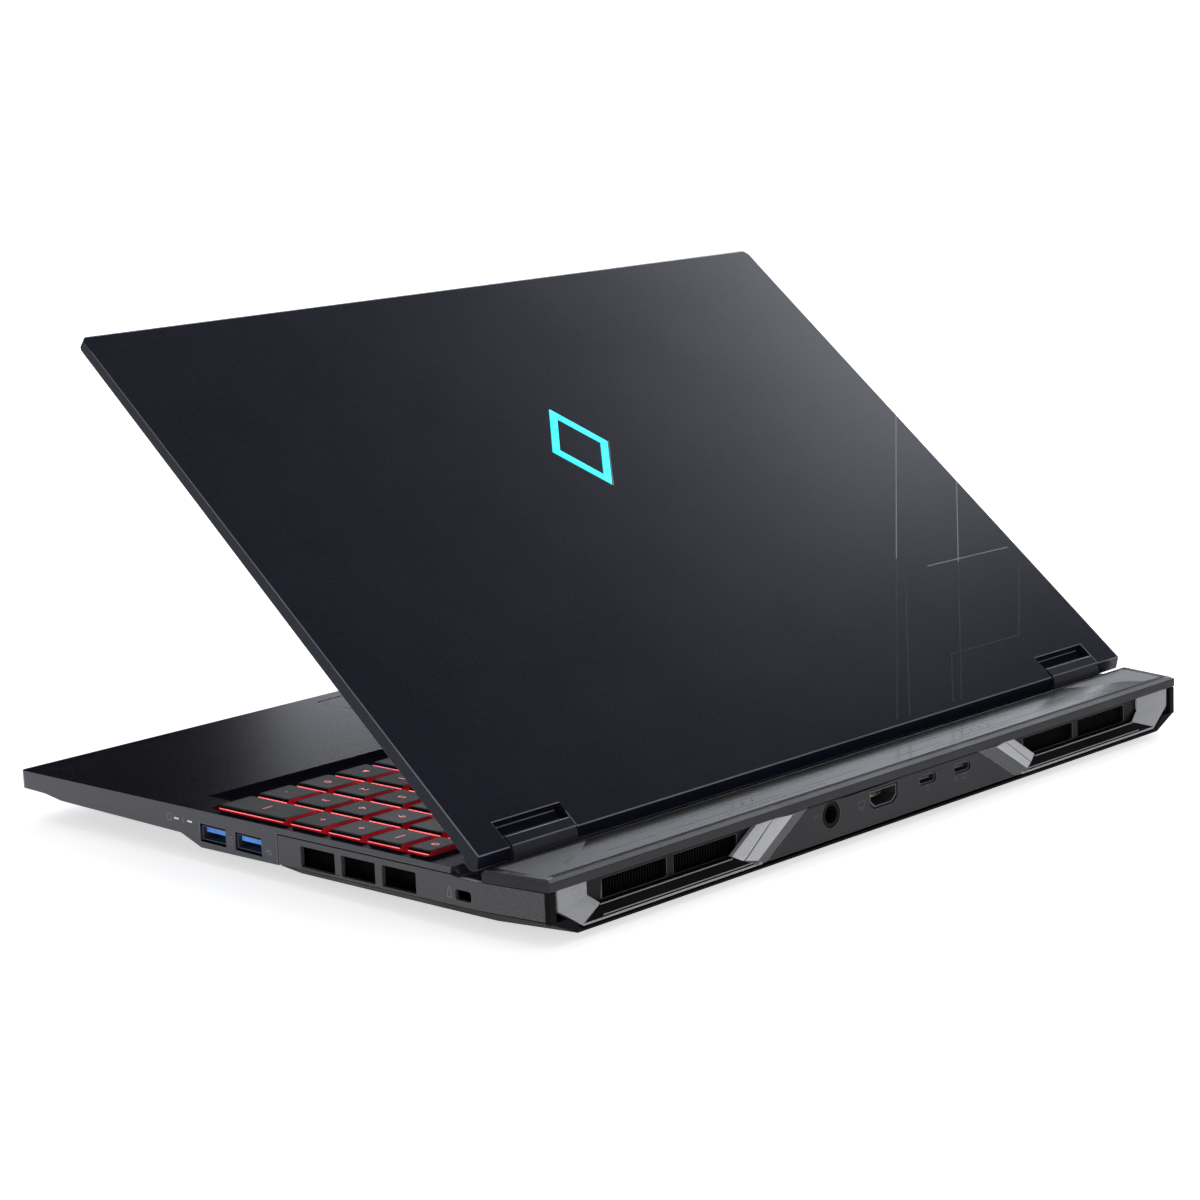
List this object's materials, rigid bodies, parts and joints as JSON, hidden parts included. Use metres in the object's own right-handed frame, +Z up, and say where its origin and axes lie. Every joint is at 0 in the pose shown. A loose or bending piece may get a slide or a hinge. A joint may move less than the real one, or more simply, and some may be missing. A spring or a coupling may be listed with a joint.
{
  "type": "laptop computer",
  "caption": "Slim wedge-shaped gaming laptop with a friction-hinged lid, a raised rear cap with ports and exhausts, side vents and a full-size keyboard.",
  "frame": {"origin": "under the middle of the machine, on the surface that its rubber feet stand on", "axes": "+X to the right of a person using it, +Y towards the hinge and the rear ports, +Z up"},
  "size_m": [0.36, 0.28, 0.1849],
  "materials": {
    "navy_metal": "satin navy-black metallic paint",
    "speckled_grey": "coarse speckled dark grey",
    "silver_trim": "speckled silver-grey paint",
    "dark_plastic": "matte moulded charcoal plastic",
    "gloss_window": "smoked glossy plastic",
    "black_metal": "blackened aluminium fins",
    "steel": "bright brushed steel",
    "copper": "drawn copper",
    "rubber": "matte black rubber",
    "keycap": "charcoal moulded plastic",
    "circuit_board": "green solder mask",
    "battery_wrap": "black battery wrap",
    "display_glass": "dark display glass",
    "emblem_light": "cyan lit diffuser"
  },
  "bodies": {
    "base": {"bottom_cover": "dark_plastic", "foot_front": "rubber", "foot_rear": "rubber", "palmrest_deck": "navy_metal", "hinge_cover_right": "navy_metal", "hinge_cover_left": "navy_metal", "side_panel_right": "speckled_grey", "side_panel_left": "speckled_grey", "rear_cap": "speckled_grey", "light_bar_window": "gloss_window", "rear_io_panel": "dark_plastic", "exhaust_grille_right": "dark_plastic", "exhaust_grille_left": "dark_plastic", "fan_housing_right": "dark_plastic", "fan_housing_left": "dark_plastic", "speaker_right": "dark_plastic", "speaker_left": "dark_plastic", "keyboard_plate": "dark_plastic", "hdmi_port": "steel", "usb_c_port_inner": "steel", "usb_c_port_outer": "steel", "usb_a_port_front": "steel", "usb_a_port_rear": "steel", "hinge_bracket_right": "steel", "hinge_bracket_left": "steel", "dc_inlet": "black_metal", "ethernet_port": "black_metal", "audio_jack": "black_metal", "heatsink_rear_right": "black_metal", "heatsink_rear_left": "black_metal", "heatsink_side_right": "black_metal", "heatsink_side_left": "black_metal", "exhaust_trim_right": "silver_trim", "exhaust_trim_left": "silver_trim", "heat_pipe_rear": "copper", "cold_plate": "copper", "motherboard": "circuit_board", "solid_state_drive": "circuit_board", "memory_module": "circuit_board", "battery": "battery_wrap"},
    "lid": {"lid_cover": "navy_metal", "lid_emblem": "emblem_light", "screen_bezel": "dark_plastic", "display_panel": "display_glass", "webcam_module": "dark_plastic", "hinge_arm_right": "steel", "hinge_arm_left": "steel"},
    "fan_right": {"fan_rotor_right": "dark_plastic"},
    "fan_left": {"fan_rotor_left": "dark_plastic"},
    "touchpad": {"touchpad": "navy_metal"},
    "power_button": {"power_button": "keycap"},
    "key_space": {"key_space": "keycap"},
    "key_enter": {"key_enter": "keycap"},
    "key_numpad_enter": {"key_numpad_enter": "keycap"},
    "key_row_bottom": {"key_row_bottom": "keycap"},
    "key_row_lower": {"key_row_lower": "keycap"},
    "key_row_home": {"key_row_home": "keycap"},
    "key_row_upper": {"key_row_upper": "keycap"},
    "key_row_number": {"key_row_number": "keycap"},
    "key_row_function": {"key_row_function": "keycap"}
  },
  "joints": [
    {"name": "lid_hinge", "type": "hinge", "parent": "base", "child": "lid", "pos_m": [0, 0.1075, 0.0253], "axis": [-1, 0, 0], "range_deg": [-40.3, 100]},
    {"name": "fan_right_spin", "type": "hinge", "parent": "base", "child": "fan_right", "pos_m": [0.122, 0.072, 0.0091], "axis": [0, 0, 1], "continuous": true},
    {"name": "fan_left_spin", "type": "hinge", "parent": "base", "child": "fan_left", "pos_m": [-0.122, 0.072, 0.0091], "axis": [0, 0, 1], "continuous": true},
    {"name": "touchpad_click", "type": "hinge", "parent": "base", "child": "touchpad", "pos_m": [-0.0225, -0.053, 0.01923], "axis": [1, 0, 0], "range_deg": [0, 0.35], "stiffness_Nm_per_rad": 12, "springref_deg": -0.34},
    {"name": "power_button_press", "type": "slide", "parent": "base", "child": "power_button", "axis": [0, -0.013, 0.9999], "range_m": [-0.0014, 0], "stiffness_N_per_m": 300, "springref_m": 0.0015},
    {"name": "key_space_press", "type": "slide", "parent": "base", "child": "key_space", "axis": [0, -0.013, 0.9999], "range_m": [-0.0014, 0], "stiffness_N_per_m": 300, "springref_m": 0.0015},
    {"name": "key_enter_press", "type": "slide", "parent": "base", "child": "key_enter", "axis": [0, -0.013, 0.9999], "range_m": [-0.0014, 0], "stiffness_N_per_m": 300, "springref_m": 0.0015},
    {"name": "key_numpad_enter_press", "type": "slide", "parent": "base", "child": "key_numpad_enter", "axis": [0, -0.013, 0.9999], "range_m": [-0.0014, 0], "stiffness_N_per_m": 300, "springref_m": 0.0015},
    {"name": "key_row_bottom_press", "type": "slide", "parent": "base", "child": "key_row_bottom", "axis": [0, -0.013, 0.9999], "range_m": [-0.0014, 0], "stiffness_N_per_m": 400, "springref_m": 0.0015},
    {"name": "key_row_lower_press", "type": "slide", "parent": "base", "child": "key_row_lower", "axis": [0, -0.013, 0.9999], "range_m": [-0.0014, 0], "stiffness_N_per_m": 400, "springref_m": 0.0015},
    {"name": "key_row_home_press", "type": "slide", "parent": "base", "child": "key_row_home", "axis": [0, -0.013, 0.9999], "range_m": [-0.0014, 0], "stiffness_N_per_m": 400, "springref_m": 0.0015},
    {"name": "key_row_upper_press", "type": "slide", "parent": "base", "child": "key_row_upper", "axis": [0, -0.013, 0.9999], "range_m": [-0.0014, 0], "stiffness_N_per_m": 400, "springref_m": 0.0015},
    {"name": "key_row_number_press", "type": "slide", "parent": "base", "child": "key_row_number", "axis": [0, -0.013, 0.9999], "range_m": [-0.0014, 0], "stiffness_N_per_m": 400, "springref_m": 0.0015},
    {"name": "key_row_function_press", "type": "slide", "parent": "base", "child": "key_row_function", "axis": [0, -0.013, 0.9999], "range_m": [-0.0014, 0], "stiffness_N_per_m": 400, "springref_m": 0.0015}
  ]
}
